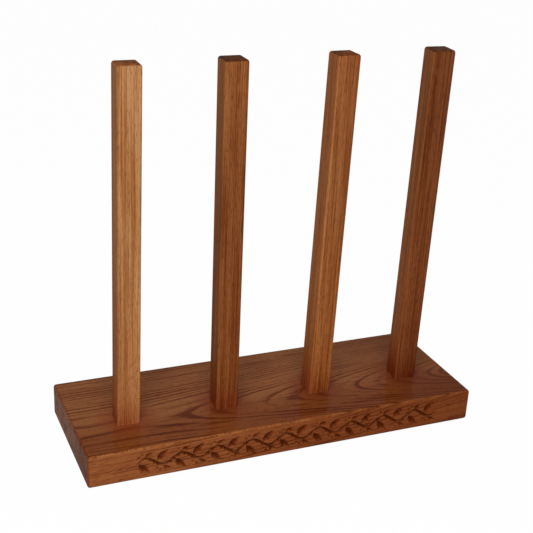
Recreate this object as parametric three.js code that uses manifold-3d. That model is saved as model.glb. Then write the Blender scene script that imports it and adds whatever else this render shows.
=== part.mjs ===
// A free-standing boot rack of solid oak for two pairs of tall boots, which hang upside down on its posts.
// Four square posts stand in one line on a thick plank, and each is bolted to it from beneath.
// Millimetres. X runs along the plank, Y to the back and Z up.
// The origin is on the floor, under the middle of the plank.

import * as THREE from 'three';
import { mergeVertices } from 'three/addons/utils/BufferGeometryUtils.js';
import Module from 'manifold-3d';

const wasm = await Module();
wasm.setup();

// Plank
const plankLength = 500;
const plankWidth = 177;
const plankThickness = 42;
const plankCornerRadius = 2.8;
const plankEdgeRadius = 3.5;

// Posts, given from left to right where they differ. They were set by hand, so each is turned
// and leans along the plank a little.
const postSide = 27.7;
const postHeight = 426;
const endPostInset = 64.3;
const postLineFromFront = 68;
const postLongEdgeRadius = 2.2;
const postTopEdgeRadius = 3.2;
const postTurnDegrees = [-2.7, -1.6, -0.1, -5.6];
const postLeanDegrees = [0.4, -0.3, 1, 0.8];

// Bolt: a socket head cap screw that is driven up through the plank
const boltDiameter = 8;
const boltLength = 45;
const boltTipChamfer = 1;
const boltHeadDiameter = 13;
const boltHeadHeight = 8;
const boltHeadChamfer = 0.8;
const hexSocketWidth = 6;
const hexSocketDepth = 4;

// Washer under the bolt's head
const washerDiameter = 17;
const washerThickness = 1.6;

// Insert nut: a threaded sleeve with a flange, screwed into the post's lower end
const insertLength = 22;
const insertDiameter = 12;
const insertThreadDepth = 0.8;
const insertThreadCount = 5;
const insertFlangeDiameter = 15;
const insertFlangeThickness = 1.6;
const insertSinking = 0.5;

// Holes
const boltPassageClearance = 0.5;
const counterboreDiameter = 20;
const counterboreDepth = 14;
const insertHoleExtraDepth = 5;
const drillPointHeight = 3;

// Rubber pads under the plank's corners
const padDiameter = 20;
const padThickness = 2.5;
const padEdgeChamfer = 0.6;
const padInset = 24;

// Radial gap between a metal piece and the hole or thread around it
const fitGap = 0.3;
// How far a cutting shape runs past the surface that it cuts
const overrun = 5;

// Facets of a whole turn, and of a quarter-round edge
const turnFacets = 24;
const padFacets = 32;
const edgeFacets = 6;

const hexSides = 6;
const quarterTurn = Math.PI / 2;

// Levels, from the floor up
const plankBottom = padThickness;
const plankTop = plankBottom + plankThickness;
const washerSeat = plankBottom + counterboreDepth;
const postLine = postLineFromFront - plankWidth / 2;

// Closed solid of a geometry: its seams are merged, and triangles that closed up to a line are left out
function toSolid(geometry) {
  const bare = geometry.clone();
  bare.deleteAttribute('normal');
  bare.deleteAttribute('uv');
  const merged = mergeVertices(bare);
  const corners = merged.index.array;
  const triangles = [];
  for (let i = 0; i < corners.length; i += 3) {
    const [a, b, c] = [corners[i], corners[i + 1], corners[i + 2]];
    if (a !== b && b !== c && c !== a) triangles.push(a, b, c);
  }
  const vertProperties = new Float32Array(merged.attributes.position.array);
  const triVerts = new Uint32Array(triangles);
  return new wasm.Manifold(new wasm.Mesh({ numProp: 3, vertProperties, triVerts }));
}

function toGeometry(solid) {
  const { vertProperties, triVerts } = solid.getMesh();
  const geometry = new THREE.BufferGeometry();
  geometry.setAttribute('position', new THREE.BufferAttribute(new Float32Array(vertProperties), 3));
  geometry.setIndex(new THREE.BufferAttribute(new Uint32Array(triVerts), 1));
  geometry.computeVertexNormals();
  return geometry;
}

// Rectangle that is centred across and stands on zero, with one radius at its two lower corners
// and another at its two upper corners
function roundedRectangle(width, height, lowerRadius, upperRadius) {
  const half = width / 2;
  const shape = new THREE.Shape();
  const corners = [
    { x: half - lowerRadius, y: lowerRadius, radius: lowerRadius, from: -quarterTurn },
    { x: half - upperRadius, y: height - upperRadius, radius: upperRadius, from: 0 },
    { x: upperRadius - half, y: height - upperRadius, radius: upperRadius, from: quarterTurn },
    { x: lowerRadius - half, y: lowerRadius, radius: lowerRadius, from: 2 * quarterTurn },
  ];
  shape.moveTo(0, 0);
  for (const { x, y, radius, from } of corners) {
    if (radius > 0) shape.absarc(x, y, radius, from, from + quarterTurn, false);
    else shape.lineTo(x, y);
  }
  shape.closePath();
  return shape;
}

function extrude(shape, depth) {
  return new THREE.ExtrudeGeometry(shape, { depth, bevelEnabled: false, curveSegments: edgeFacets });
}

// Block that stands on zero, centred in X and Y. Its upright edges have one radius, and the edges
// round its underside and round its top have their own.
function roundedBlock(length, width, height, uprightRadius, undersideRadius, topRadius) {
  const plan = extrude(roundedRectangle(length, width, uprightRadius, uprightRadius), height + 2 * overrun);
  plan.translate(0, -width / 2, -overrun);
  const front = extrude(roundedRectangle(length, height, undersideRadius, topRadius), width + 2 * overrun);
  front.rotateX(quarterTurn);
  front.translate(0, width / 2 + overrun, 0);
  const end = extrude(roundedRectangle(width, height, undersideRadius, topRadius), length + 2 * overrun);
  end.rotateX(quarterTurn);
  end.rotateZ(quarterTurn);
  end.translate(-length / 2 - overrun, 0, 0);
  return toSolid(plan).intersect(toSolid(front)).intersect(toSolid(end));
}

// Solid turned about Z from [radius, height] pairs that go up its outside
function turned(pairs, facets) {
  const points = pairs.map(([radius, height]) => new THREE.Vector2(radius, height));
  const geometry = new THREE.LatheGeometry(points, facets);
  geometry.rotateX(quarterTurn);
  return toSolid(geometry);
}

// Ring turned about Z: the same pairs, closed down its bore
function turnedRing(pairs, boreRadius, facets) {
  const lowest = pairs[0][1];
  const highest = pairs[pairs.length - 1][1];
  return turned([[boreRadius, lowest], ...pairs, [boreRadius, highest], [boreRadius, lowest]], facets);
}

function moved(solid, x, y, z) {
  const geometry = toGeometry(solid);
  geometry.translate(x, y, z);
  return toSolid(geometry);
}

const oakPlank = new THREE.MeshStandardMaterial({ color: 0x7a4a31, roughness: 0.45, metalness: 0 });
const oakPosts = [0xa9713f, 0x8f5a33, 0x90582f, 0x6f3f22].map(
  (color) => new THREE.MeshStandardMaterial({ color, roughness: 0.45, metalness: 0 }),
);
const platedSteel = new THREE.MeshStandardMaterial({ color: 0xb9bcbe, roughness: 0.35, metalness: 1 });
const zincAlloy = new THREE.MeshStandardMaterial({ color: 0xa7a294, roughness: 0.45, metalness: 1 });
const blackRubber = new THREE.MeshStandardMaterial({ color: 0x1f1f20, roughness: 0.85, metalness: 0 });

function namedMesh(name, solid, material) {
  const mesh = new THREE.Mesh(toGeometry(solid), material);
  mesh.name = name;
  return mesh;
}

// Plank: every edge is rounded over. Each post's bolt goes up through it from a counterbore in the underside.
function plankSolid(postPlaces) {
  const passageRadius = boltDiameter / 2 + boltPassageClearance;
  const passage = turned([
    [0, -overrun],
    [counterboreDiameter / 2, -overrun],
    [counterboreDiameter / 2, counterboreDepth],
    [passageRadius, counterboreDepth],
    [passageRadius, plankThickness + overrun],
    [0, plankThickness + overrun],
  ], turnFacets);
  let plank = roundedBlock(
    plankLength, plankWidth, plankThickness, plankCornerRadius, plankEdgeRadius, plankEdgeRadius,
  );
  for (const x of postPlaces) {
    plank = plank.subtract(moved(passage, x, postLine, 0));
  }
  return plank;
}

// Post: a square stick, square-cut below and rounded over on its long edges and round its top.
// It leans along the plank while both its ends stay level. Its lower end is drilled for the insert nut.
function postSolid(leanDegrees) {
  const stick = toGeometry(
    roundedBlock(postSide, postSide, postHeight, postLongEdgeRadius, 0, postTopEdgeRadius),
  );
  const lean = Math.tan(THREE.MathUtils.degToRad(leanDegrees));
  stick.applyMatrix4(new THREE.Matrix4().makeShear(0, 0, 0, 0, lean, 0));
  const flangeRecess = insertSinking + insertFlangeThickness;
  const holeRadius = insertDiameter / 2 + fitGap;
  const holeDepth = insertSinking + insertLength + insertHoleExtraDepth;
  const hole = turned([
    [0, -overrun],
    [insertFlangeDiameter / 2 + fitGap, -overrun],
    [insertFlangeDiameter / 2 + fitGap, flangeRecess],
    [holeRadius, flangeRecess],
    [holeRadius, holeDepth],
    [0, holeDepth + drillPointHeight],
  ], turnFacets);
  return toSolid(stick).subtract(hole);
}

// Bolt: stands on its head, with a chamfered tip and a hexagon socket in the head's underside
function boltSolid() {
  const shankRadius = boltDiameter / 2;
  const headRadius = boltHeadDiameter / 2;
  const tip = boltHeadHeight + boltLength;
  const bolt = turned([
    [0, 0],
    [headRadius - boltHeadChamfer, 0],
    [headRadius, boltHeadChamfer],
    [headRadius, boltHeadHeight],
    [shankRadius, boltHeadHeight],
    [shankRadius, tip - boltTipChamfer],
    [shankRadius - boltTipChamfer, tip],
    [0, tip],
  ], turnFacets);
  const socketRadius = hexSocketWidth / 2 / Math.cos(Math.PI / hexSides);
  const socket = turned([
    [0, -overrun],
    [socketRadius, -overrun],
    [socketRadius, hexSocketDepth],
    [0, hexSocketDepth],
  ], hexSides);
  return bolt.subtract(socket);
}

function washerSolid() {
  return turnedRing([
    [washerDiameter / 2, 0],
    [washerDiameter / 2, washerThickness],
  ], boltDiameter / 2 + fitGap, turnFacets);
}

// Insert nut: a flange, then a coarse wood thread, which stands as one ridge for each turn
function insertSolid() {
  const crest = insertDiameter / 2;
  const root = crest - insertThreadDepth;
  const turnHeight = (insertLength - insertFlangeThickness) / insertThreadCount;
  const pairs = [
    [insertFlangeDiameter / 2, 0],
    [insertFlangeDiameter / 2, insertFlangeThickness],
  ];
  for (let i = 0; i < insertThreadCount; i += 1) {
    const start = insertFlangeThickness + i * turnHeight;
    pairs.push([root, start], [crest, start + turnHeight / 2]);
  }
  pairs.push([root, insertLength]);
  return turnedRing(pairs, boltDiameter / 2 + fitGap, turnFacets);
}

// Pad: a disc of rubber that is stuck under the plank
function padSolid() {
  const radius = padDiameter / 2;
  return turned([
    [0, 0],
    [radius - padEdgeChamfer, 0],
    [radius, padEdgeChamfer],
    [radius, padThickness],
    [0, padThickness],
  ], padFacets);
}

const rack = new THREE.Group();

// The end posts keep their distance from the plank's ends, and the others stand evenly between them
const postPitch = (plankLength - 2 * endPostInset) / (postTurnDegrees.length - 1);
const postPlaces = postTurnDegrees.map((_, i) => endPostInset - plankLength / 2 + i * postPitch);

const basePlank = namedMesh('base_plank', plankSolid(postPlaces), oakPlank);
basePlank.position.z = plankBottom;
rack.add(basePlank);

const bolt = boltSolid();
const washer = washerSolid();
const insert = insertSolid();
postPlaces.forEach((x, i) => {
  const station = new THREE.Group();
  station.position.set(x, postLine, 0);
  station.rotation.z = THREE.MathUtils.degToRad(postTurnDegrees[i]);

  const post = namedMesh(`post_${i + 1}`, postSolid(postLeanDegrees[i]), oakPosts[i]);
  post.position.z = plankTop;

  const insertNut = namedMesh(`insert_nut_${i + 1}`, insert, zincAlloy);
  insertNut.position.z = plankTop + insertSinking;

  const boltWasher = namedMesh(`bolt_washer_${i + 1}`, washer, platedSteel);
  boltWasher.position.z = washerSeat - washerThickness;

  const postBolt = namedMesh(`post_bolt_${i + 1}`, bolt, platedSteel);
  postBolt.position.z = washerSeat - washerThickness - boltHeadHeight;

  station.add(post, insertNut, boltWasher, postBolt);
  rack.add(station);
});

const pad = padSolid();
const padPlaces = [[-1, -1], [1, -1], [-1, 1], [1, 1]];
padPlaces.forEach(([sideX, sideY], i) => {
  const footPad = namedMesh(`foot_pad_${i + 1}`, pad, blackRubber);
  footPad.position.x = sideX * (plankLength / 2 - padInset);
  footPad.position.y = sideY * (plankWidth / 2 - padInset);
  rack.add(footPad);
});

export default rack;
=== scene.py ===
import math

import bmesh
import bpy
from mathutils import Matrix, Vector


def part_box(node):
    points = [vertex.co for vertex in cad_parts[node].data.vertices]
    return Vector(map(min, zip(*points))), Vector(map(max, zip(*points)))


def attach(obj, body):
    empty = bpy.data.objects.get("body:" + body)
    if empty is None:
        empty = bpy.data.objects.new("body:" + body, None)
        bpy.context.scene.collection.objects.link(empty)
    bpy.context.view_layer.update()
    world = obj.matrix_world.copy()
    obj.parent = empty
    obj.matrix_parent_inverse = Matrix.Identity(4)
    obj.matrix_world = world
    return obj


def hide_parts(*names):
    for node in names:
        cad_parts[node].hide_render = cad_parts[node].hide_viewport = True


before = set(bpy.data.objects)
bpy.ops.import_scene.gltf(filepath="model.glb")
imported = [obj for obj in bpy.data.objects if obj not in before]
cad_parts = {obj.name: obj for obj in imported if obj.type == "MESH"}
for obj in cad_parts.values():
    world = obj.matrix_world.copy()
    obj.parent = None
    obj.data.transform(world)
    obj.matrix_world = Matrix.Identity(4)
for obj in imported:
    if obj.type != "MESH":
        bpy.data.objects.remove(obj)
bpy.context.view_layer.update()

mm = 0.001


# THE PLANK
# One thick piece of flat-sawn oak, planed, sanded round on every edge, stained brown and lacquered.
# Four bolt holes are bored up through it, each with a counterbore beneath, and a running border of
# leaves is cut into its front edge with a V tool.

plank_low, plank_high = (Vector(corner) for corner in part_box("base_plank"))
plank_top = plank_high.z
plank_corner_radius = 2.8 * mm
plank_edge_radius = 3.5 * mm
edge_steps = 6

stations = []
for number in range(1, 5):
    bolt_low, bolt_high = (Vector(corner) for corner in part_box(f"post_bolt_{number}"))
    stations.append((bolt_low + bolt_high) / 2)

passage_radius = 4.5 * mm
counterbore_radius = 10 * mm
counterbore_depth = 14 * mm
boring_steps = 48
overrun = 2 * mm
merge_distance = 1e-6


def make_piece(name, shape):
    mesh = bpy.data.meshes.new(name)
    shape.to_mesh(mesh)
    shape.free()
    piece = bpy.data.objects.new(name, mesh)
    bpy.context.scene.collection.objects.link(piece)
    return piece


def settle(piece):
    """Makes what the piece's modifiers show its own mesh."""
    bpy.context.view_layer.update()
    graph = bpy.context.evaluated_depsgraph_get()
    settled = bpy.data.meshes.new_from_object(piece.evaluated_get(graph))
    piece.modifiers.clear()
    piece.data = settled


def cut_away(piece, cutter):
    """Takes the cutter's space out of the piece, and the cutter out of the scene."""
    cut = piece.modifiers.new("cut", "BOOLEAN")
    cut.operation = "DIFFERENCE"
    cut.solver = "EXACT"
    cut.use_self = True
    cut.object = cutter
    settle(piece)
    bpy.data.objects.remove(cutter)


def rounded_block(name, low, high, upright_radius, top_radius, bottom_radius):
    """Block whose upright edges, top edges and bottom edges are rounded by their own radii."""
    shape = bmesh.new()
    bmesh.ops.create_cube(shape, size=1)
    bmesh.ops.scale(shape, vec=high - low, verts=shape.verts)
    bmesh.ops.translate(shape, vec=(high + low) / 2, verts=shape.verts)
    middle = (high.z + low.z) / 2
    widest = max(upright_radius, top_radius, bottom_radius)
    share = shape.edges.layers.float.new("bevel_weight_edge")
    for edge in shape.edges:
        one, other = (corner.co.z for corner in edge.verts)
        radius = upright_radius
        if (one > middle) == (other > middle):
            radius = top_radius if one > middle else bottom_radius
        edge[share] = radius / widest
    block = make_piece(name, shape)
    rounding = block.modifiers.new("rounding", "BEVEL")
    rounding.limit_method = "WEIGHT"
    rounding.width = widest
    rounding.segments = edge_steps
    rounding.profile = 0.5
    rounding.use_clamp_overlap = False
    settle(block)
    return block


def outward(shape):
    """Turns a closed shape's faces outwards."""
    bmesh.ops.recalc_face_normals(shape, faces=shape.faces)
    if shape.calc_volume(signed=True) < 0:
        bmesh.ops.reverse_faces(shape, faces=shape.faces)
    return shape


def turned_shape(outline, steps, closed=False):
    """Shape turned about Z from (radius, height) points that go up its outside."""
    shape = bmesh.new()
    corners = [shape.verts.new((radius, 0, height)) for radius, height in outline]
    ends = zip(corners, corners[1:] + corners[:1] if closed else corners[1:])
    edges = [shape.edges.new(pair) for pair in ends]
    bmesh.ops.spin(
        shape, geom=corners + edges, cent=(0, 0, 0), axis=(0, 0, 1), dvec=(0, 0, 0),
        angle=math.tau, steps=steps, use_merge=True,
    )
    bmesh.ops.remove_doubles(shape, verts=shape.verts, dist=merge_distance)
    return outward(shape)


def add_to(whole, part):
    """Joins one loose shape to another."""
    spare = bpy.data.meshes.new("spare")
    part.to_mesh(spare)
    part.free()
    whole.from_mesh(spare)
    bpy.data.meshes.remove(spare)


plank = rounded_block(
    "oak_plank", plank_low, plank_high, plank_corner_radius, plank_edge_radius, plank_edge_radius
)

borings = bmesh.new()
for station in stations:
    boring = turned_shape([
        (0, plank_low.z - overrun),
        (counterbore_radius, plank_low.z - overrun),
        (counterbore_radius, plank_low.z + counterbore_depth),
        (passage_radius, plank_low.z + counterbore_depth),
        (passage_radius, plank_top + overrun),
        (0, plank_top + overrun),
    ], boring_steps)
    bmesh.ops.translate(boring, vec=(station.x, station.y, 0), verts=boring.verts)
    add_to(borings, boring)
cut_away(plank, make_piece("borings", borings))

border_start = -193 * mm
border_wave = 44 * mm
border_waves = 9
border_level = 23.4 * mm
stem_swing = 5.5 * mm
stem_half_width = 2.1 * mm
stem_depth = 2.8 * mm
stem_taper = 12 * mm
stem_end_share = 0.25
stem_steps = 180
stalk_half_width = 0.7 * mm
stalk_start_share = 1.2
stalk_share = 0.16
leaf_slope = 0.85
leaf_fullness = 0.8
leaf_least_depth = 0.5 * mm
berry_radius = 2.0 * mm
berry_depth = 2.0 * mm
berry_sides = 20
berry_merge_distance = 1e-7
tool_overrun = 0.6 * mm
heading_step = 0.005
front = plank_low.y

# Root, middle and tip of the two leaves and middles of the two berries beside each crest of the stem,
# in millimetres along and away from it
long_leaf = [(-9, 1.6), (-5, -6), (5.5, -14.5)]
long_leaf_half_width = 4.6 * mm
long_leaf_steps = 16
short_leaf = [(-1, 5.4), (1, 11), (10.5, 13)]
short_leaf_half_width = 3.0 * mm
short_leaf_steps = 12
berries = [(-8.2, 8.6), (-4.0, 11.8)]


def climb(edge):
    """How far an edge runs up Z."""
    return abs(edge.verts[0].co.z - edge.verts[1].co.z)


def v_cut(route, steps):
    """Cut with a V bed along a route in the front edge: place along, level, half width and depth."""
    shape = bmesh.new()
    bmesh.ops.create_cone(
        shape, cap_ends=True, cap_tris=False, segments=3, radius1=1, radius2=1, depth=1
    )
    long_edges = [edge for edge in shape.edges if climb(edge) > 0.5]
    bmesh.ops.subdivide_edges(shape, edges=long_edges, cuts=steps, use_grid_fill=True)
    opening = min(point.co.y for point in shape.verts)
    bed = max(point.co.y for point in shape.verts)
    side = max(point.co.x for point in shape.verts)
    for point in shape.verts:
        share = point.co.z + 0.5
        along, level, half_width, depth = route(share)
        before, after = route(max(0, share - heading_step)), route(min(1, share + heading_step))
        heading = Vector((after[0] - before[0], after[1] - before[1])).normalized()
        inward = (point.co.y - opening) / (bed - opening)
        across = point.co.x / side * half_width * (depth + tool_overrun) / depth
        point.co = (
            along - heading.y * across,
            front - tool_overrun + (depth + tool_overrun) * inward,
            level + heading.x * across,
        )
    return outward(shape)


def stem_route(share):
    length = border_waves * border_wave
    swell = min(1.0, stem_end_share + min(share, 1 - share) * length / stem_taper)
    level = border_level + stem_swing * math.sin(math.tau * share * border_waves)
    return border_start + share * length, level, stem_half_width * swell, stem_depth * swell


def leaf_route(root, middle, tip, half_width):
    """Bent leaf on a thin stalk, widest near its stalk and pointed at its tip."""
    def route(share):
        along, level = (
            (1 - share) ** 2 * root[part] + 2 * share * (1 - share) * middle[part] + share ** 2 * tip[part]
            for part in range(2)
        )
        blade = max(0.0, (share - stalk_share) / (1 - stalk_share))
        stalk_half = stalk_half_width * (stalk_start_share - share)
        half = max(stalk_half, half_width * math.sin(math.pi * blade ** leaf_fullness))
        return along, level, half, max(leaf_least_depth, half * leaf_slope)
    return route


def berry_cut(along, level):
    """Round pit, pointed like the drill that makes it."""
    reach = (berry_depth + tool_overrun) / berry_depth
    shape = bmesh.new()
    bmesh.ops.create_cone(
        shape, cap_ends=True, cap_tris=False, segments=berry_sides, radius1=0,
        radius2=berry_radius * reach, depth=berry_depth + tool_overrun,
    )
    bmesh.ops.remove_doubles(shape, verts=shape.verts, dist=berry_merge_distance)
    bmesh.ops.rotate(
        shape, cent=(0, 0, 0), matrix=Matrix.Rotation(math.pi / 2, 3, "X"), verts=shape.verts
    )
    middle = front + (berry_depth - tool_overrun) / 2
    bmesh.ops.translate(shape, vec=(along, middle, level), verts=shape.verts)
    return outward(shape)


cut_away(plank, make_piece("stem", v_cut(stem_route, stem_steps)))

leaves = bmesh.new()
for turn_count in range(2 * border_waves):
    crest = border_start + (turn_count + 0.5) * border_wave / 2
    side = 1 if turn_count % 2 == 0 else -1

    def beside(along, level):
        return crest + along * mm, border_level + side * level * mm

    long_route = leaf_route(*(beside(*point) for point in long_leaf), long_leaf_half_width)
    add_to(leaves, v_cut(long_route, long_leaf_steps))
    short_route = leaf_route(*(beside(*point) for point in short_leaf), short_leaf_half_width)
    add_to(leaves, v_cut(short_route, short_leaf_steps))
    for berry in berries:
        add_to(leaves, berry_cut(*beside(*berry)))
cut_away(plank, make_piece("leaves", leaves))


class Finish:
    """A node material, with short ways to lay one node on another."""

    def __init__(self, name):
        self.material = bpy.data.materials.new(name)
        self.material.use_nodes = True
        self.tree = self.material.node_tree
        self.shader = self.tree.nodes["Principled BSDF"]

    def node(self, kind, inputs=None, output=0, **choices):
        made = self.tree.nodes.new(kind)
        for choice, value in choices.items():
            setattr(made, choice, value)
        for socket, value in (inputs or {}).items():
            self.feed(made.inputs[socket], value)
        return made.outputs[output]

    def feed(self, socket, value):
        if isinstance(value, bpy.types.NodeSocket):
            self.tree.links.new(value, socket)
        else:
            socket.default_value = value

    def math(self, operation, one, other=0.0, third=0.0, clamp=False):
        inputs = {0: one, 1: other, 2: third}
        return self.node("ShaderNodeMath", inputs, operation=operation, use_clamp=clamp)

    def times(self, one, other, clamp=False):
        return self.math("MULTIPLY", one, other, clamp=clamp)

    def scaled(self, value, scale, start):
        """Value times scale, plus start."""
        return self.math("MULTIPLY_ADD", value, scale, start)

    def vector(self, operation, one, other=(0, 0, 0)):
        output = 1 if operation == "LENGTH" else 0
        return self.node("ShaderNodeVectorMath", {0: one, 1: other}, output, operation=operation)

    def apart(self, vector):
        return self.tree.nodes[self.node("ShaderNodeSeparateXYZ", {0: vector}).node.name].outputs

    def noise(self, place, stretch, detail=2.0, output="Fac", roughness=0.55):
        stretched = self.vector("MULTIPLY", place, stretch)
        inputs = {"Vector": stretched, "Scale": 1.0, "Detail": detail, "Roughness": roughness}
        return self.node("ShaderNodeTexNoise", inputs, output)

    def between(self, value, low, high, start=0.0, end=1.0):
        """Start below low, end above high, and a soft step from one to the other between them."""
        inputs = {0: value, 1: low, 2: high, 3: start, 4: end}
        return self.node("ShaderNodeMapRange", inputs, interpolation_type="SMOOTHSTEP")

    def ramp(self, value, stops):
        made = self.tree.nodes.new("ShaderNodeValToRGB")
        places = made.color_ramp.elements
        while len(places) < len(stops):
            places.new(0.5)
        for place, (position, colour) in zip(places, stops):
            place.position = position
            place.color = (*colour, 1)
        self.feed(made.inputs[0], value)
        return made.outputs[0]

    def blend(self, share, one, other, mode="MIX"):
        inputs = {0: share, 6: one, 7: other}
        return self.node("ShaderNodeMix", inputs, 2, data_type="RGBA", blend_type=mode)

    def stain_and_shade(self, share, shade):
        """Multiplies the colour so far by a shade, where share is above 0, for stains and for painted light
        and shade alike.
        """
        self.colour = self.blend(share, self.colour, (*shade, 1), "MULTIPLY")

    def cover(self, share, tone):
        """Lays a tone over the colour so far, where share is above 0."""
        self.colour = self.blend(share, self.colour, (*tone, 1))

    def relief(self, height, depth, strength):
        inputs = {"Height": height, "Distance": depth, "Strength": strength}
        self.tree.links.new(self.node("ShaderNodeBump", inputs), self.shader.inputs["Normal"])


# How often each pattern of the oak changes in a metre: along its grain, across it and up through it
sway_stretch = (7, 20, 20)
ripple_stretch = (26, 90, 90)
patch_stretch = (9, 50)
fibre_stretch = 640
streak_stretch = (4, 230, 230)
band_stretch = (3, 60)
pore_stretch = (130, 1900, 1900)
ray_stretch = (60, 1500, 75)
end_stretch = (20, 100, 100)
rub_and_glint_stretch = (40, 150, 150)
season_stretch = 90.0

# Where each pattern starts to show and where it shows fully
patch_range = (0.32, 0.66)
pore_start = 0.66
pore_full = 0.72
ray_range = (0.66, 0.74)
rub_and_glint_range = (0.35, 0.65)
facing_range = (0.3, 0.9)
end_reach_width = 0.4
arris_range = (0.99, 0.82)

# How much of each pattern shows. The spring wood's dark line is given as places in a year and greys.
noise_middle = 0.5
ripple_share = 0.14
season_share = 1.5
spring_stops = [(0.0, 0.8), (0.05, 1.0), (0.2, 0.75), (0.38, 0.2), (0.8, 0.0), (1.0, 0.2)]
weakest_share = 0.15
spring_pores = 0.16
pore_share = 0.6
ray_share = 0.25
ray_bearing = 0.08
ring_lift = 0.16
end_shades = (0.5, 1.55)
end_contrast = 3.4
end_figure_share = 0.7
end_cover = 0.95
# How pale the rounded edges are, partly as wear and partly as painted highlight
worn_share = 0.5
worn_least = 0.12

# The lacquer's gloss and the grain that is felt through it
lacquer_roughness = 0.4
pore_roughness = 0.2
streak_roughness = 0.1
end_roughness = 0.12
coat_weight = 0.1
coat_roughness = 0.4
spring_hollow = 0.25
fibre_ridge = 0.35
grain_relief = 0.22 * mm
grain_strength = 0.55


def lacquered_oak(
    name, tones, centre, upright, face, heart, ring_width, rise, wave, coarse, fibre_run, figure, calm,
    end_reach, bow=0,
):
    """Oak whose growth rings run round a heart line, with pores, rays, stain and satin lacquer.

    tones are the stain's dark, middle and light, its end grain and its pores. The grain runs along X
    after the turn. The heart line lies at heart from the centre, slopes by rise and bends by bow.
    figure gives the strength of the fibres, streaks, bands and rings, and calm how much of it the
    faces towards X and towards Y keep. The end grain's tone starts where a rounded edge has turned
    by end_reach.
    """
    dark, middle, light, end_tone, pore_tone = tones
    oak = Finish(name)
    place = oak.node("ShaderNodeTexCoord", output="Object")
    normal = oak.node("ShaderNodeTexCoord", output="Normal")
    centred = oak.vector("SUBTRACT", place, centre)
    lying = Matrix.Rotation(math.radians(upright), 3, "Y")
    turn = (Matrix.Rotation(math.radians(face), 3, "X") @ lying).to_euler()
    grain = oak.node("ShaderNodeMapping", {"Vector": centred, "Rotation": turn})
    facing = oak.node("ShaderNodeMapping", {"Vector": normal, "Rotation": turn})

    small_wave = ripple_share * wave
    straight = (noise_middle,) * 3
    sway = oak.noise(grain, sway_stretch, detail=1.5, output="Color")
    sway = oak.vector("SUBTRACT", sway, straight)
    ripple = oak.noise(grain, ripple_stretch, detail=1.0, output="Color")
    ripple = oak.vector("SUBTRACT", ripple, straight)
    bent = oak.vector("ADD", grain, oak.vector("MULTIPLY", sway, (0, wave, wave)))
    bent = oak.vector("ADD", bent, oak.vector("MULTIPLY", ripple, (0, small_wave, small_wave)))
    along, across, above = oak.apart(bent)
    across = oak.math("SUBTRACT", across, heart[0])
    slope = oak.scaled(along, bow, rise)
    depth = oak.math("ADD", above, oak.scaled(along, slope, heart[1]))
    radius = oak.vector("LENGTH", oak.node("ShaderNodeCombineXYZ", {0: 0.0, 1: across, 2: depth}))
    season_place = {"W": oak.times(radius, season_stretch), "Scale": 1.0}
    seasons = oak.node("ShaderNodeTexNoise", season_place, noise_dimensions="1D")
    rings = oak.math("ADD", oak.math("DIVIDE", radius, ring_width), oak.times(seasons, season_share))
    phase = oak.math("FRACT", rings)
    year = oak.node("ShaderNodeTexWhiteNoise", {"W": oak.math("FLOOR", rings)}, noise_dimensions="1D")
    spring = oak.ramp(phase, [(stop, (grey,) * 3) for stop, grey in spring_stops])
    patch_across = patch_stretch[1] * coarse
    patch = oak.noise(grain, (patch_stretch[0], patch_across, patch_across), detail=2.0)
    patch_strength = oak.scaled(oak.between(patch, *patch_range), 1.0, weakest_share)
    year_strength = oak.scaled(year, 1 - weakest_share, weakest_share)
    spring_line = oak.times(spring, oak.times(year_strength, patch_strength))

    band_across = band_stretch[1] * coarse
    fibre = oak.noise(grain, (fibre_run, fibre_stretch, fibre_stretch), detail=2.0)
    streak = oak.noise(grain, streak_stretch, detail=2.0)
    band = oak.noise(grain, (band_stretch[0], band_across, band_across), detail=1.0)
    vessel = oak.noise(grain, pore_stretch, detail=0.0)
    vessel = oak.between(vessel, oak.scaled(spring, -spring_pores, pore_start), pore_full)
    bearing = oak.times(oak.math("ARCTAN2", across, depth), ray_bearing)
    ray_place = oak.node("ShaderNodeCombineXYZ", {0: along, 1: bearing, 2: radius})
    ray = oak.between(oak.noise(ray_place, ray_stretch, detail=0.0), *ray_range)

    sideways, frontways, upwards = oak.apart(oak.vector("ABSOLUTE", normal))
    tone = ring_lift * figure[3] - noise_middle * sum(figure[:3])
    for pattern, weight in zip((fibre, streak, band), figure):
        tone = oak.scaled(pattern, weight, tone)
    tone = oak.scaled(spring_line, -figure[3], tone)
    tone = oak.times(tone, oak.between(sideways, *facing_range, 1.0, calm[0]))
    tone = oak.times(tone, oak.between(frontways, *facing_range, 1.0, calm[1]))
    tone = oak.math("ADD", tone, 0.5, clamp=True)
    colour = oak.ramp(tone, [(0.0, dark), (0.5, middle), (1.0, light)])
    colour = oak.blend(oak.times(vessel, pore_share), colour, (*pore_tone, 1))
    colour = oak.blend(oak.times(ray, ray_share), colour, (*light, 1))

    end_facing = oak.apart(oak.vector("ABSOLUTE", facing))[0]
    end_grain = oak.between(end_facing, end_reach, end_reach + end_reach_width)
    end_dark, end_light = ((*[shade * part for part in end_tone], 1) for shade in end_shades)
    end_figure = oak.noise(grain, end_stretch, detail=3.0)
    end_figure = oak.scaled(end_figure, end_contrast, -noise_middle * end_contrast)
    end_figure = oak.scaled(oak.math("ADD", tone, -0.5), end_figure_share, end_figure)
    end_colour = oak.blend(oak.math("ADD", end_figure, 0.5, clamp=True), end_dark, end_light)
    colour = oak.blend(oak.times(end_grain, end_cover), colour, end_colour)
    flattest = oak.math("MAXIMUM", sideways, oak.math("MAXIMUM", frontways, upwards))
    arris = oak.times(oak.between(flattest, *arris_range), oak.math("SUBTRACT", 1.0, end_grain))
    rub_and_glint = oak.between(oak.noise(grain, rub_and_glint_stretch, detail=2.0), *rub_and_glint_range)

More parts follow.
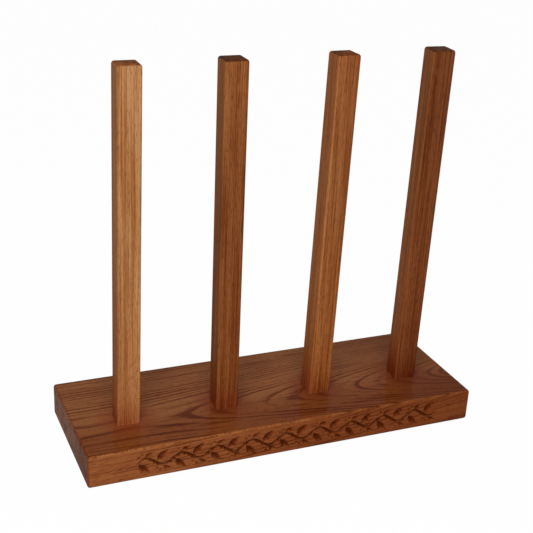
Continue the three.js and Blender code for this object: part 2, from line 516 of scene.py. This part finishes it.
    rough = oak.scaled(vessel, pore_roughness, lacquer_roughness)
    rough = oak.scaled(streak, streak_roughness, rough)
    rough = oak.scaled(end_grain, end_roughness, rough)
    oak.feed(oak.shader.inputs["Roughness"], rough)
    oak.shader.inputs["Specular IOR Level"].default_value = 0.0
    oak.shader.inputs["Coat Weight"].default_value = coat_weight
    oak.shader.inputs["Coat Roughness"].default_value = coat_roughness
    height = oak.scaled(vessel, -1.0, oak.times(spring, -spring_hollow))
    height = oak.scaled(fibre, fibre_ridge, height)
    oak.relief(height, grain_relief, grain_strength)

    oak.place, oak.colour, oak.end_colour = place, colour, end_colour
    oak.sideways, oak.frontways = sideways, frontways
    # The rounded edges' paleness: partly wear, partly painted highlight.
    oak.worn = oak.times(arris, oak.scaled(rub_and_glint, worn_share, worn_least))
    return oak


sharp_angle = math.radians(28)


def dress(piece, material, slot, *nodes):
    """Smooth shading that keeps the real corners, then the finish and the piece's place in the rack."""
    shape = bmesh.new()
    shape.from_mesh(piece.data)
    for face in shape.faces:
        face.smooth = True
    for edge in shape.edges:
        edge.smooth = edge.calc_face_angle(math.pi) < sharp_angle
    shape.to_mesh(piece.data)
    shape.free()
    piece.data.materials.clear()
    piece.data.materials.append(material)
    even = piece.modifiers.new("even shading", "WEIGHTED_NORMAL")
    even.keep_sharp = True
    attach(piece, "root")
    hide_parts(*nodes)


plank_dark_tone = (0.118, 0.027, 0.0063)
plank_middle_tone = (0.203, 0.060, 0.0185)
plank_light_tone = (0.256, 0.088, 0.030)
plank_end_tone = (0.133, 0.0475, 0.0214)
plank_pore_tone = (0.050, 0.012, 0.005)
plank_worn_tone = (0.34, 0.118, 0.033)
plank_post_reflection_tone = (0.200, 0.058, 0.0175)
plank_coat_roughness = 0.2

# Shades that the wood's colour is multiplied by, for stain and for painted light, shade and reflection
unlit_shade = (0.877, 0.70, 0.525, 1)
lit_shade = (1.18, 1.23, 1.225, 1)
front_face_light = (1.075, 1.02, 0.90)
right_falloff_shade = (0.88, 0.84, 0.85)
front_strip_shade = (0.93, 0.88, 0.91)
end_arris_shade = (0.9, 0.7, 0.6)
post_reflection_shades = [(1.07, 0.835, 0.79), (0.92, 0.68, 0.69), (0.89, 0.68, 0.68), (0.93, 0.71, 0.73)]

# Where each of them starts and is full, in metres from the plank's middle
calm_along = (0.11, 0.18)
back_sheen_inward = (-0.058, -0.012)
left_light_along = (0.06, -0.2)
right_falloff_along = (0.13, 0.21)
strip_inward = (-0.052, -0.070)
strip_along = (-0.10, 0.02)
rubbed_and_lit_along = (0.2, -0.15)
post_reflection_radius = 45 * mm
post_reflection_core_share = 0.4

# The same, in how far the surface faces front or sideways
calm_sideways = (0.6, 0.3)
front_face = (0.6, 0.95)
top_face = (0.5, 0.2)
fleck_face = (0.3, 0.8)
rubbed_and_lit_sideways = (0.3, 0.1)
end_arris_start = (0.1, 0.4)
end_arris_stop = (0.95, 0.75)

right_calm = 0.35
post_reflection_calm = 0.5
left_light_share = 0.65
rubbed_and_lit_shares = (0.4, 1.3)

fleck_slope = math.radians(24)
fleck_stretch = (110, 110, 620)
fleck_range = (0.5, 0.68)
fleck_share = 0.15
fleck_pale_share = 0.7
chip_and_glint_stretch = (230, 230, 520)
chip_and_glint_range = (0.42, 0.58)
chip_and_glint_shares = (0.4, 1.7)

border_inset = 20 * mm
border_margin = 4.5 * mm
border_reach = 6 * mm
cut_dark_range = (0.2 * mm, 3 * mm)
cut_bare_range = (0.05 * mm, 0.5 * mm)
cut_dark_share = 0.6
border_low = Vector((plank_low.x + border_inset, plank_low.y, plank_low.z + border_margin))
border_high = Vector((
    plank_high.x - border_inset, plank_low.y + border_reach, plank_high.z - border_margin
))

plank_oak = lacquered_oak(
    "oak_plank_finish",
    tones=(plank_dark_tone, plank_middle_tone, plank_light_tone, plank_end_tone, plank_pore_tone),
    centre=(0, 0, plank_top), upright=0, face=0, heart=(-0.034, 0.075), ring_width=3.4 * mm,
    rise=-0.08, wave=4.5 * mm, coarse=0.6, fibre_run=18, figure=(2.0, 2.5, 0.9, 4.2),
    calm=(0.8, 0.52), end_reach=0.55, bow=-0.16,
)
along, inward, height = plank_oak.apart(plank_oak.place)

# The figure is quieter towards the right end. Painted sheen makes the top paler to the back and painted
# light makes the front paler on its left; elsewhere painted shade makes the wood darker and redder.
calmed = plank_oak.between(along, *calm_along, 0.0, right_calm)
calmed = plank_oak.times(calmed, plank_oak.between(plank_oak.sideways, *calm_sideways))
plank_oak.cover(calmed, plank_middle_tone)
back_sheen = plank_oak.between(inward, *back_sheen_inward)
left_light = plank_oak.between(along, *left_light_along, 0.0, left_light_share)
left_light = plank_oak.times(left_light, plank_oak.frontways)
shade = plank_oak.blend(plank_oak.math("MAXIMUM", back_sheen, left_light), unlit_shade, lit_shade)
plank_oak.colour = plank_oak.blend(1.0, plank_oak.colour, shade, "MULTIPLY")
# Painted light: the front face gets a shade of its own, a little redder and less blue than the top.
plank_oak.stain_and_shade(plank_oak.between(plank_oak.frontways, *front_face), front_face_light)

# Painted shade: away from the front face the wood darkens towards the right end, where less light falls.
right_falloff = plank_oak.between(along, *right_falloff_along)
right_falloff = plank_oak.times(right_falloff, plank_oak.math("SUBTRACT", 1.0, plank_oak.frontways))
plank_oak.stain_and_shade(right_falloff, right_falloff_shade)
front_strip = plank_oak.between(inward, *strip_inward)
front_strip = plank_oak.times(front_strip, plank_oak.between(along, *strip_along))
front_strip = plank_oak.times(front_strip, plank_oak.between(plank_oak.frontways, *top_face))
plank_oak.stain_and_shade(front_strip, front_strip_shade)

# Painted reflection and shade of each post: the top is darker and redder round its foot, and its figure
# calmer there.
for station, post_reflection_shade in zip(stations, post_reflection_shades):
    from_foot = plank_oak.vector("SUBTRACT", plank_oak.place, (station.x, station.y, plank_top))
    from_foot = plank_oak.vector("LENGTH", from_foot)
    post_reflection = plank_oak.between(from_foot, post_reflection_radius, post_reflection_core_share * post_reflection_radius)
    plank_oak.cover(plank_oak.times(post_reflection, post_reflection_calm), plank_post_reflection_tone)
    plank_oak.stain_and_shade(post_reflection, post_reflection_shade)

# Short pale flecks slant across the front.
slanting = {"Vector": plank_oak.place, "Rotation": (0, fleck_slope, 0)}
slanted = plank_oak.node("ShaderNodeMapping", slanting)
fleck = plank_oak.between(plank_oak.noise(slanted, fleck_stretch, detail=1.0), *fleck_range)
flecked = plank_oak.times(plank_oak.frontways, fleck_share)
flecked = plank_oak.math("MAXIMUM", flecked, plank_oak.times(left_light, fleck_pale_share))
flecked = plank_oak.times(flecked, plank_oak.between(plank_oak.frontways, *fleck_face))
plank_oak.cover(plank_oak.times(fleck, flecked), plank_worn_tone)

# The cuts of the border hold more stain the deeper they are, and no lacquer.
cut_dark = plank_oak.between(inward, *(border_low.y + depth for depth in cut_dark_range))
bare = plank_oak.between(inward, *(border_low.y + depth for depth in cut_bare_range))
for value, low, high in (
    (along, border_low.x, border_high.x), (inward, -1, border_high.y), (height, border_low.z, border_high.z)
):
    within = plank_oak.math("COMPARE", value, (low + high) / 2, (high - low) / 2)
    cut_dark = plank_oak.times(cut_dark, within)
    bare = plank_oak.times(bare, within)
plank_oak.cover(plank_oak.times(cut_dark, cut_dark_share), plank_pore_tone)

# The edges are paler along the front and the back, in small chips, partly rubbed and partly painted
# highlight, most towards the left, and stay darker at the ends.
end_arris = plank_oak.between(plank_oak.sideways, *end_arris_start)
end_arris = plank_oak.times(end_arris, plank_oak.between(plank_oak.sideways, *end_arris_stop))
plank_oak.stain_and_shade(end_arris, end_arris_shade)
rubbed_and_lit = plank_oak.times(plank_oak.worn, plank_oak.between(along, *rubbed_and_lit_along, *rubbed_and_lit_shares))
rubbed_and_lit = plank_oak.times(rubbed_and_lit, plank_oak.between(plank_oak.sideways, *rubbed_and_lit_sideways))
chips_and_glints = plank_oak.between(plank_oak.noise(slanted, chip_and_glint_stretch, detail=1.0), *chip_and_glint_range, *chip_and_glint_shares)
rubbed_and_lit = plank_oak.times(rubbed_and_lit, chips_and_glints, clamp=True)
rubbed_and_lit = plank_oak.times(rubbed_and_lit, plank_oak.math("SUBTRACT", 1.0, bare))
plank_oak.cover(rubbed_and_lit, plank_worn_tone)
plank_oak.feed(plank_oak.shader.inputs["Base Color"], plank_oak.colour)
plank_oak.feed(plank_oak.shader.inputs["Coat Weight"], plank_oak.scaled(bare, -coat_weight, coat_weight))
plank_oak.shader.inputs["Coat Roughness"].default_value = plank_coat_roughness
dress(plank, plank_oak.material, "oak_plank", "base_plank")


# THE POSTS
# Four square sticks of the same oak, sanded round on their long edges and round their tops. Each is
# drilled from below for an insert nut, and was set by hand, so each is turned and leans a little.

post_side = 27.7 * mm
post_height = 426 * mm
post_long_radius = 2.2 * mm
post_top_radius = 3.2 * mm
post_turns = [-2.7, -1.6, -0.1, -5.6]
post_leans = [0.4, -0.3, 1, 0.8]
flange_hole_radius = 7.8 * mm
flange_hole_depth = 2.1 * mm
nut_hole_radius = 6.3 * mm
nut_hole_depth = 27.5 * mm
drill_point = 3 * mm
drilling_steps = 40

foot_shift_height = 0.30
head_shift_height = 0.23
# Heights of the painted shade just above the plank, and of the painted light and shade low on the side
# faces
foot_contact_shade_height = 0.035
low_side_lighting_height = 0.07
rim_stain_height = 2.8 * mm
rim_core_share = 0.3
# Painted highlight down each post's front left edge: its shade, its width and the share of that width where
# it is full
arris_highlight_shade = (1.35, 1.5, 1.6)
arris_highlight_width = 5 * mm
arris_highlight_core_share = 0.2
least_wear_and_highlight = 0.2

# Each post's wood, from left to right. tones are its dark, middle and light wood, its end grain and its
# pores. foot and head are shades its colour shifts to towards its foot and towards its top. The shade just
# above the plank is painted shade, side is painted light and shade on the side faces, and the shade low on
# the side faces is painted light and shade as well. arris is how strong a painted highlight down the front
# left edge is, and rim how much end grain shows round the top. log_place is how far along the log the post
# was cut, in metres.
post_looks = {
    "post_1": dict(
        slot="oak_post_light", heart=(0.004, 0.050), face=62, ring_width=3.4 * mm, log_place=0,
        figure=(1.6, 1.7, 1.6, 0.8), arris=0.0, rim=0.15,
        tones=[
            (0.272, 0.090, 0.020), (0.397, 0.176, 0.064), (0.487, 0.255, 0.112),
            (0.182, 0.0515, 0.0105), (0.17, 0.047, 0.013),
        ],
        foot=(0.88, 0.70, 0.55), foot_contact_shade=(0.92, 0.75, 0.74), head=(0.97, 0.96, 0.98),
        side=(0.78, 0.66, 0.60), low_side_lighting=(1.2, 1.15, 1.3),
    ),
    "post_2": dict(
        slot="oak_post_mid", heart=(0.030, 0.062), face=20, ring_width=2.6 * mm, log_place=7.4,
        figure=(2.3, 1.8, 0.6, 1.0), arris=0.3, rim=0.8,
        tones=[
            (0.106, 0.020, 0.0027), (0.170, 0.0437, 0.0091), (0.228, 0.071, 0.0195),
            (0.060, 0.0152, 0.0022), (0.064, 0.014, 0.004),
        ],
        foot=(1.10, 1.06, 1.0), foot_contact_shade=(1.05, 0.83, 0.90), head=(1.26, 1.49, 1.72),
        side=(1.11, 1.23, 1.34), low_side_lighting=(1.05, 0.87, 1.1),
    ),
    "post_3": dict(
        slot="oak_post_mid", heart=(-0.012, 0.045), face=38, ring_width=3.0 * mm, log_place=2,
        figure=(2.2, 1.8, 1.2, 0.9), arris=0.75, rim=0.5,
        tones=[
            (0.160, 0.037, 0.006), (0.229, 0.069, 0.0165), (0.310, 0.113, 0.034),
            (0.134, 0.0336, 0.004), (0.08, 0.022, 0.007),
        ],
        foot=(1.16, 1.07, 0.91), foot_contact_shade=(0.92, 0.75, 0.74), head=(0.96, 0.92, 0.95),
        side=(1.27, 1.41, 1.62), low_side_lighting=(0.9, 0.76, 0.96),
    ),
    "post_4": dict(
        slot="oak_post_dark", heart=(0.015, 0.070), face=28, ring_width=2.8 * mm, log_place=3,
        figure=(2.2, 1.8, 1.4, 1.0), arris=0.6, rim=0.9,
        tones=[
            (0.100, 0.020, 0.003), (0.148, 0.037, 0.008), (0.203, 0.061, 0.018),
            (0.076, 0.022, 0.0057), (0.055, 0.013, 0.005),
        ],
        foot=(1.06, 0.95, 0.92), foot_contact_shade=(0.92, 0.75, 0.74), head=(0.92, 0.93, 1.05),
        side=(1.6, 1.98, 2.25), low_side_lighting=(0.70, 0.46, 0.50),
    ),
}

for station, turn_degrees, lean_degrees, name in zip(stations, post_turns, post_leans, post_looks):
    look = post_looks[name]
    post_low = Vector((-post_side / 2, -post_side / 2, 0))
    post_high = Vector((post_side / 2, post_side / 2, post_height))
    post = rounded_block(f"oak_{name}", post_low, post_high, post_long_radius, post_top_radius, 0)
    lean = Matrix.Identity(4)
    lean[0][2] = math.tan(math.radians(lean_degrees))
    post.data.transform(lean)
    drilling = turned_shape([
        (0, -overrun),
        (flange_hole_radius, -overrun),
        (flange_hole_radius, flange_hole_depth),
        (nut_hole_radius, flange_hole_depth),
        (nut_hole_radius, nut_hole_depth),
        (0, nut_hole_depth + drill_point),
    ], drilling_steps)
    cut_away(post, make_piece("drilling", drilling))
    turn = Matrix.Rotation(math.radians(turn_degrees), 4, "Z")
    post.data.transform(Matrix.Translation((station.x, station.y, plank_top)) @ turn)

    oak = lacquered_oak(
        f"{name}_finish", tones=look["tones"], upright=90, face=look["face"], heart=look["heart"],
        centre=(station.x, station.y, plank_top + post_height / 2 - look["log_place"]),
        ring_width=look["ring_width"], rise=0.01, wave=4 * mm, coarse=1, fibre_run=10,
        figure=look["figure"], calm=(0.6, 1), end_reach=0.5,
    )
    height = oak.apart(oak.place)[2]
    # Each post's colour shifts towards its foot shade low down and towards its head shade near the top.
    oak.stain_and_shade(oak.between(height, plank_top + foot_shift_height, plank_top), look["foot"])
    oak.stain_and_shade(oak.between(height, plank_top + head_shift_height, plank_top + post_height), look["head"])
    # Painted shade just above the plank, and painted light and shade on the side faces and low on them.
    oak.stain_and_shade(oak.between(height, plank_top + foot_contact_shade_height, plank_top), look["foot_contact_shade"])
    oak.stain_and_shade(oak.between(oak.sideways, *facing_range), look["side"])
    low_side_lighting = oak.between(height, plank_top + low_side_lighting_height, plank_top)
    low_side_lighting = oak.times(low_side_lighting, oak.between(oak.sideways, *facing_range))
    oak.stain_and_shade(low_side_lighting, look["low_side_lighting"])

    # Painted highlight down the front left edge, where the lamp would glint on the rounded edge.
    from_foot = oak.vector("SUBTRACT", oak.place, (station.x, station.y, plank_top))
    turned_back = {"Vector": from_foot, "Rotation": (0, 0, math.radians(-turn_degrees))}
    across, inward, above = oak.apart(oak.node("ShaderNodeMapping", turned_back))
    across = oak.scaled(above, -lean[0][2], across)
    highlight_edge = arris_highlight_width - post_side / 2
    highlight_core = arris_highlight_core_share * arris_highlight_width - post_side / 2
    highlight = oak.between(across, highlight_edge, highlight_core)
    highlight = oak.times(highlight, oak.between(oak.frontways, *facing_range))
    oak.stain_and_shade(oak.times(highlight, look["arris"]), arris_highlight_shade)
    rim_low = post_height - rim_stain_height
    rim_full = post_height - rim_core_share * rim_stain_height
    rim = oak.times(oak.between(above, rim_low, rim_full), look["rim"])
    oak.colour = oak.blend(rim, oak.colour, oak.end_colour)
    # The rounded edges are paler, partly as wear and partly as painted highlight, more where the edge
    # highlight is strong.
    worn = oak.times(oak.worn, oak.math("SUBTRACT", 1.0, rim))
    light_tone = look["tones"][2]
    oak.cover(oak.times(worn, look["arris"] + least_wear_and_highlight), light_tone)
    oak.feed(oak.shader.inputs["Base Color"], oak.colour)
    dress(post, oak.material, look["slot"], name)


# THE BOLTS, WASHERS AND INSERT NUTS
# Each post is drawn down by a zinc-plated M8 socket head bolt, driven up through the plank from its
# counterbore over a plain washer. It screws into a cast zinc insert nut in the post's lower end.

bolt_head_radius = 6.5 * mm
bolt_head_height = 8 * mm
bolt_head_chamfer = 0.8 * mm
bolt_head_seat_chamfer = 0.2 * mm
bolt_head_steps = 64
bolt_radius = 4 * mm
bolt_length = 45 * mm
bolt_tip = 1 * mm
bolt_tip_slope = 0.6
bolt_turn = math.radians(17)
shank_sides = 40
shank_rows = 260
socket_width = 6 * mm
socket_depth = 4 * mm
thread_pitch = 1.25 * mm
thread_depth = 0.6 * mm
thread_start = 9 * mm
washer_thickness = 1.6 * mm
washer_radius = 8.5 * mm
washer_bore = 4.3 * mm
washer_round = 0.25 * mm
washer_steps = 72

plate_stain_stretch = (90, 90, 90)
plate_stain_range = (0.35, 0.7)
plate_brush_stretch = (2600, 2600, 300)
plate_brush_strength = 0.4
plate_dull_share = 0.72
plate_unevenness = 0.2


def plated_metal(name, colour, roughness, grain_height):
    """Zinc plate: a soft brushed grain, faint stains and a slightly uneven gloss."""
    metal = Finish(name)
    place = metal.node("ShaderNodeTexCoord", output="Object")
    cloud = metal.noise(place, plate_stain_stretch, detail=3.0)
    brush = metal.noise(place, plate_brush_stretch, detail=2.0)
    dull = tuple(plate_dull_share * part for part in colour)
    tone = metal.blend(metal.between(cloud, *plate_stain_range), (*colour, 1), (*dull, 1))
    metal.feed(metal.shader.inputs["Base Color"], tone)
    metal.shader.inputs["Metallic"].default_value = 1.0
    metal.feed(metal.shader.inputs["Roughness"], metal.scaled(cloud, plate_unevenness, roughness))
    metal.relief(brush, grain_height, plate_brush_strength)
    return metal.material


bolt_finish = plated_metal(
    "zinc_plate_finish", colour=(0.62, 0.64, 0.66), roughness=0.22, grain_height=0.03 * mm
)
washer_finish = plated_metal(
    "washer_plate_finish", colour=(0.58, 0.60, 0.61), roughness=0.3, grain_height=0.04 * mm
)
nut_finish = plated_metal(
    "cast_zinc_finish", colour=(0.46, 0.44, 0.40), roughness=0.42, grain_height=0.08 * mm
)

seat = plank_low.z + counterbore_depth
head_top = seat - washer_thickness
head_bottom = head_top - bolt_head_height
socket_radius = socket_width / 2 / math.cos(math.pi / 6)

for number, station in enumerate(stations, start=1):
    shank = bmesh.new()
    bmesh.ops.create_cone(
        shank, cap_ends=True, cap_tris=False, segments=shank_sides, radius1=bolt_radius,
        radius2=bolt_radius, depth=bolt_length,
    )
    uprights = [edge for edge in shank.edges if climb(edge) > bolt_length / 2]
    bmesh.ops.subdivide_edges(shank, edges=uprights, cuts=shank_rows, use_grid_fill=True)
    for point in shank.verts:
        height = point.co.z + bolt_length / 2
        around = math.atan2(point.co.y, point.co.x) / math.tau
        wave = (height / thread_pitch - around) % 1
        cut = 1 - abs(2 * wave - 1)
        fade = max(0.0, min(1.0, (height - thread_start) / thread_pitch))
        taper = max(0.0, height - (bolt_length - bolt_tip))
        radius = bolt_radius - thread_depth * cut * fade - taper * bolt_tip_slope
        spread = Vector((point.co.x, point.co.y)).normalized() * radius
        point.co.x, point.co.y = spread
    bmesh.ops.translate(shank, vec=(0, 0, head_top + bolt_length / 2), verts=shank.verts)
    bolt = make_piece(f"socket_bolt_{number}", shank)
    head_shape = turned_shape([
        (0, head_bottom),
        (bolt_head_radius - bolt_head_chamfer, head_bottom),
        (bolt_head_radius, head_bottom + bolt_head_chamfer),
        (bolt_head_radius, head_top - bolt_head_seat_chamfer),
        (bolt_head_radius - bolt_head_seat_chamfer, head_top),
        (0, head_top),
    ], bolt_head_steps)
    head = make_piece("head", head_shape)
    socket = bmesh.new()
    bmesh.ops.create_cone(
        socket, cap_ends=True, cap_tris=False, segments=6, radius1=socket_radius,
        radius2=socket_radius, depth=socket_depth + overrun,
    )
    bmesh.ops.translate(socket, vec=(0, 0, head_bottom + (socket_depth - overrun) / 2), verts=socket.verts)
    cut_away(head, make_piece("socket", socket))
    union = bolt.modifiers.new("head", "BOOLEAN")
    union.operation = "UNION"
    union.solver = "EXACT"
    union.object = head
    settle(bolt)
    bpy.data.objects.remove(head)
    turn = Matrix.Rotation(bolt_turn * number, 4, "Z")
    bolt.data.transform(Matrix.Translation((station.x, station.y, 0)) @ turn)
    dress(bolt, bolt_finish, "plated_steel", f"post_bolt_{number}")

    ring = turned_shape([
        (washer_bore, head_top),
        (washer_radius - washer_round, head_top),
        (washer_radius, head_top + washer_round),
        (washer_radius, seat),
        (washer_bore, seat),
    ], washer_steps, closed=True)
    bmesh.ops.translate(ring, vec=(station.x, station.y, 0), verts=ring.verts)
    washer = make_piece(f"plain_washer_{number}", ring)
    dress(washer, washer_finish, "plated_steel", f"bolt_washer_{number}")

    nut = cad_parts[f"insert_nut_{number}"]
    nut.data.materials.clear()
    nut.data.materials.append(nut_finish)


# THE RUBBER PADS
# A disc of black rubber is stuck under each corner of the plank, far enough in not to be seen.
# Its rim is moulded round below, and it lifts the plank off the floor.

pad_radius = 10 * mm
pad_thickness = 2.5 * mm
pad_round = 0.6 * mm
pad_round_steps = 6
pad_steps = 64
rubber_dark = (0.016, 0.016, 0.017, 1)
rubber_pale = (0.034, 0.033, 0.032, 1)
rubber_roughness = 0.7
rubber_unevenness = 0.2
rubber_cloud_stretch = (160, 160, 160)
rubber_cloud_range = (0.3, 0.7)
rubber_grain_stretch = (2500, 2500, 2500)
rubber_grain_height = 0.08 * mm
rubber_grain_strength = 0.5

rubber = Finish("black_rubber_finish")
rubber_place = rubber.node("ShaderNodeTexCoord", output="Object")
rubber_cloud = rubber.noise(rubber_place, rubber_cloud_stretch, detail=3.0)
rubber_grain = rubber.noise(rubber_place, rubber_grain_stretch, detail=1.0)
rubber_tone = rubber.blend(rubber.between(rubber_cloud, *rubber_cloud_range), rubber_dark, rubber_pale)
rubber.feed(rubber.shader.inputs["Base Color"], rubber_tone)
rubber_gloss = rubber.scaled(rubber_cloud, rubber_unevenness, rubber_roughness)
rubber.feed(rubber.shader.inputs["Roughness"], rubber_gloss)
rubber.relief(rubber_grain, rubber_grain_height, rubber_grain_strength)

pad_rim = []
for step in range(pad_round_steps + 1):
    angle = step * math.pi / 2 / pad_round_steps
    pad_rim.append((
        pad_radius - pad_round * (1 - math.sin(angle)),
        pad_round * (1 - math.cos(angle)),
    ))

for number in range(1, 5):
    pad_low, pad_high = (Vector(corner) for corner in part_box(f"foot_pad_{number}"))
    disc = turned_shape([(0, 0), *pad_rim, (pad_radius, pad_thickness), (0, pad_thickness)], pad_steps)
    middle = (pad_low + pad_high) / 2
    bmesh.ops.translate(disc, vec=(middle.x, middle.y, 0), verts=disc.verts)
    pad = make_piece(f"rubber_pad_{number}", disc)
    dress(pad, rubber.material, "black_rubber", f"foot_pad_{number}")


# THE STUDIO
# A pale floor that runs out of sight, one large soft lamp near the camera and an even surround. The
# floor and the surround look white to the camera and in reflections, and the floor keeps the shadow.

floor_half = 8.0
floor_tone = 0.86
floor_white_share = 0.98
surround_level = 0.33
lamp_power = 17.4
lamp_side = 1.1
lamp_place = Vector((-0.52, -1.06, 1.12))
lamp_target = Vector((-0.05, 0, 0.2))

floor_shape = bmesh.new()
bmesh.ops.create_grid(floor_shape, x_segments=1, y_segments=1, size=floor_half)
floor = make_piece("floor", floor_shape)
floor_finish = bpy.data.materials.new("floor_finish")
floor_finish.use_nodes = True
floor_tree = floor_finish.node_tree
floor_tree.nodes.remove(floor_tree.nodes["Principled BSDF"])


def seen_directly(tree):
    """1 for what the camera sees, directly, mirrored or through glass, and 0 for light on the object."""
    rays = tree.nodes.new("ShaderNodeLightPath")
    seen = rays.outputs["Is Camera Ray"]
    for kind in ("Is Glossy Ray", "Is Transmission Ray"):
        either = tree.nodes.new("ShaderNodeMath")
        either.operation = "MAXIMUM"
        tree.links.new(seen, either.inputs[0])
        tree.links.new(rays.outputs[kind], either.inputs[1])
        seen = either.outputs[0]
    return seen


plain_floor = floor_tree.nodes.new("ShaderNodeBsdfDiffuse")
plain_floor.inputs["Color"].default_value = (floor_tone, floor_tone, floor_tone, 1)
white_floor = floor_tree.nodes.new("ShaderNodeEmission")
white_share = floor_tree.nodes.new("ShaderNodeMath")
white_share.operation = "MULTIPLY"
white_share.inputs[1].default_value = floor_white_share
floor_tree.links.new(seen_directly(floor_tree), white_share.inputs[0])
floor_mix = floor_tree.nodes.new("ShaderNodeMixShader")
floor_tree.links.new(white_share.outputs[0], floor_mix.inputs[0])
floor_tree.links.new(plain_floor.outputs[0], floor_mix.inputs[1])
floor_tree.links.new(white_floor.outputs[0], floor_mix.inputs[2])
floor_tree.links.new(floor_mix.outputs[0], floor_tree.nodes["Material Output"].inputs["Surface"])
floor.data.materials.append(floor_finish)

surround = bpy.data.worlds.new("surround")
surround.use_nodes = True
bpy.context.scene.world = surround
surround_tree = surround.node_tree
even_light = surround_tree.nodes["Background"]
even_light.inputs["Color"].default_value = (1, 1, 1, 1)
even_light.inputs["Strength"].default_value = surround_level
white_surround = surround_tree.nodes.new("ShaderNodeBackground")
white_surround.inputs["Color"].default_value = (1, 1, 1, 1)
surround_mix = surround_tree.nodes.new("ShaderNodeMixShader")
surround_tree.links.new(seen_directly(surround_tree), surround_mix.inputs[0])
surround_tree.links.new(even_light.outputs[0], surround_mix.inputs[1])
surround_tree.links.new(white_surround.outputs[0], surround_mix.inputs[2])
surround_tree.links.new(surround_mix.outputs[0], surround_tree.nodes["World Output"].inputs["Surface"])

lamp_data = bpy.data.lights.new("soft_lamp", "AREA")
lamp_data.shape = "SQUARE"
lamp_data.size = lamp_side
lamp_data.energy = lamp_power
lamp = bpy.data.objects.new("soft_lamp", lamp_data)
lamp.location = lamp_place
lamp.rotation_euler = (lamp_target - lamp_place).to_track_quat("-Z", "Y").to_euler()
bpy.context.scene.collection.objects.link(lamp)

# The camera's place, turn and lens come from fitting the rack's straight edges to the photograph.
camera_place = Vector((-479.516, -1075.452, 707.368)) * mm
camera_azimuth = -0.389330
camera_elevation = -0.408446
camera_roll = -0.039985
focal_pixels = 1058.353
image_pixels = 533
optical_centre = (240.0, 275.0)
sensor_width = 36.0

forward = Vector((
    -math.sin(camera_azimuth) * math.cos(camera_elevation),
    math.cos(camera_azimuth) * math.cos(camera_elevation),
    math.sin(camera_elevation),
))
level_right = Vector((math.cos(camera_azimuth), math.sin(camera_azimuth), 0))
level_down = forward.cross(level_right)
right = level_right * math.cos(camera_roll) + level_down * math.sin(camera_roll)
down = level_down * math.cos(camera_roll) - level_right * math.sin(camera_roll)
camera_data = bpy.data.cameras.new("camera")
camera_data.sensor_fit = "HORIZONTAL"
camera_data.sensor_width = sensor_width
camera_data.lens = focal_pixels * sensor_width / image_pixels
camera_data.shift_x = (image_pixels / 2 - optical_centre[0]) / image_pixels
camera_data.shift_y = (optical_centre[1] - image_pixels / 2) / image_pixels
camera = bpy.data.objects.new("camera", camera_data)
axes = Matrix((right, -down, -forward)).transposed()
camera.matrix_world = Matrix.Translation(camera_place) @ axes.to_4x4()
bpy.context.scene.collection.objects.link(camera)
bpy.context.scene.camera = camera
bpy.context.scene.view_settings.view_transform = "Standard"

bpy.context.view_layer.update()
